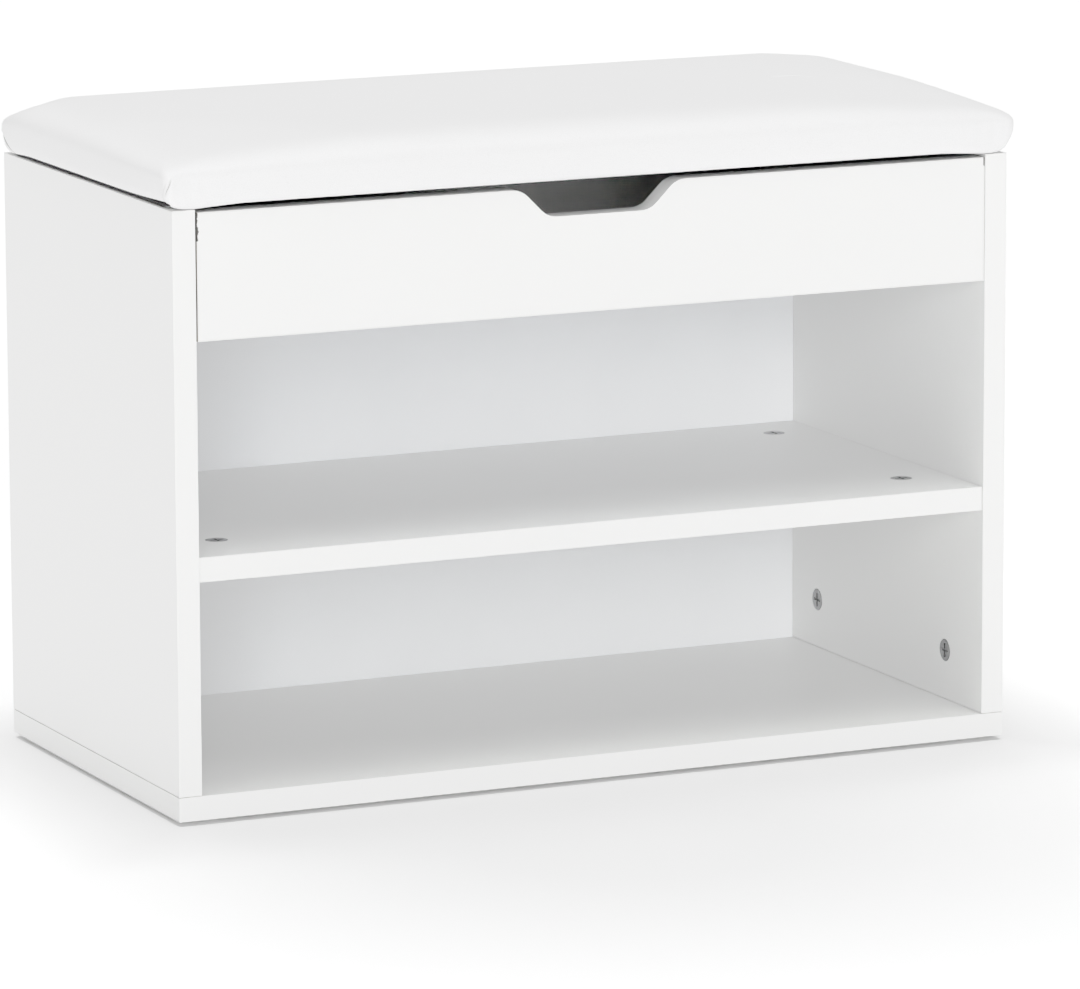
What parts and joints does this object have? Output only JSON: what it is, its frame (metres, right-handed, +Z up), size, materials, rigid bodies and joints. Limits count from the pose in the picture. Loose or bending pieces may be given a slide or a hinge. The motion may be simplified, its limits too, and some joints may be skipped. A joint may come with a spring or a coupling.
{
  "type": "entryway bench",
  "caption": "White entryway shoe bench with two open shoe bays and a hinged padded seat lid over a storage compartment.",
  "frame": {"origin": "on the floor, under the middle of the bench", "axes": "+X along the bench's width, +Y towards its back, +Z up; the open front faces -Y"},
  "size_m": [0.616, 0.3112, 0.44],
  "materials": {
    "white_melamine": "satin white melamine-faced board with edge band",
    "white_hardboard": "thin fibreboard with a smooth white lacquered face",
    "white_leatherette": "matte white artificial leather with a fine grain",
    "foam": "open-cell foam",
    "fibreboard": "raw fibreboard",
    "nonwoven_cloth": "black nonwoven lining cloth",
    "zinc_casting": "dull zinc casting",
    "zinc_plated_steel": "bright zinc plate",
    "white_plastic": "satin moulded plastic",
    "clear_bumper": "soft translucent bumper",
    "beech": "raw beech dowel"
  },
  "bodies": {
    "carcass": {"bottom_panel": "white_melamine", "left_side_panel": "white_melamine", "right_side_panel": "white_melamine", "middle_shelf": "white_melamine", "front_panel": "white_melamine", "rear_rail": "white_melamine", "back_panel": "white_hardboard", "compartment_floor": "white_hardboard", "cam_bottom_left_front": "zinc_casting", "cam_bottom_left_rear": "zinc_casting", "cam_bottom_right_front": "zinc_casting", "cam_bottom_right_rear": "zinc_casting", "cam_shelf_left_front": "zinc_casting", "cam_shelf_left_rear": "zinc_casting", "cam_shelf_right_front": "zinc_casting", "cam_shelf_right_rear": "zinc_casting", "cam_front_left": "zinc_casting", "cam_front_right": "zinc_casting", "cam_rail_left": "zinc_casting", "cam_rail_right": "zinc_casting", "bolt_bottom_left_front": "zinc_plated_steel", "bolt_bottom_left_rear": "zinc_plated_steel", "bolt_bottom_right_front": "zinc_plated_steel", "bolt_bottom_right_rear": "zinc_plated_steel", "bolt_shelf_left_front": "zinc_plated_steel", "bolt_shelf_left_rear": "zinc_plated_steel", "bolt_shelf_right_front": "zinc_plated_steel", "bolt_shelf_right_rear": "zinc_plated_steel", "bolt_front_left": "zinc_plated_steel", "bolt_front_right": "zinc_plated_steel", "bolt_rail_left": "zinc_plated_steel", "bolt_rail_right": "zinc_plated_steel", "dowel_left_front": "beech", "glide_left_front": "white_plastic", "dowel_left_rear": "beech", "glide_left_rear": "white_plastic", "dowel_right_front": "beech", "glide_right_front": "white_plastic", "dowel_right_rear": "beech", "glide_right_rear": "white_plastic", "bumper_left": "clear_bumper", "hinge_frame_leaf_left": "zinc_plated_steel", "hinge_pin_left": "zinc_plated_steel", "rail_screw_left_outer": "zinc_plated_steel", "rail_screw_left_inner": "zinc_plated_steel", "bumper_right": "clear_bumper", "hinge_frame_leaf_right": "zinc_plated_steel", "hinge_pin_right": "zinc_plated_steel", "rail_screw_right_outer": "zinc_plated_steel", "rail_screw_right_inner": "zinc_plated_steel"},
    "lid": {"seat_cover": "white_leatherette", "seat_foam": "foam", "seat_board": "fibreboard", "dust_cover": "nonwoven_cloth", "hinge_lid_leaf_left": "zinc_plated_steel", "lid_screw_left_outer": "zinc_plated_steel", "lid_screw_left_inner": "zinc_plated_steel", "hinge_lid_leaf_right": "zinc_plated_steel", "lid_screw_right_outer": "zinc_plated_steel", "lid_screw_right_inner": "zinc_plated_steel"}
  },
  "joints": [
    {"name": "lid_hinge", "type": "hinge", "parent": "carcass", "child": "lid", "pos_m": [0, 0.15295, 0.39945], "axis": [-1, 0, 0], "range_deg": [0, 95]}
  ]
}
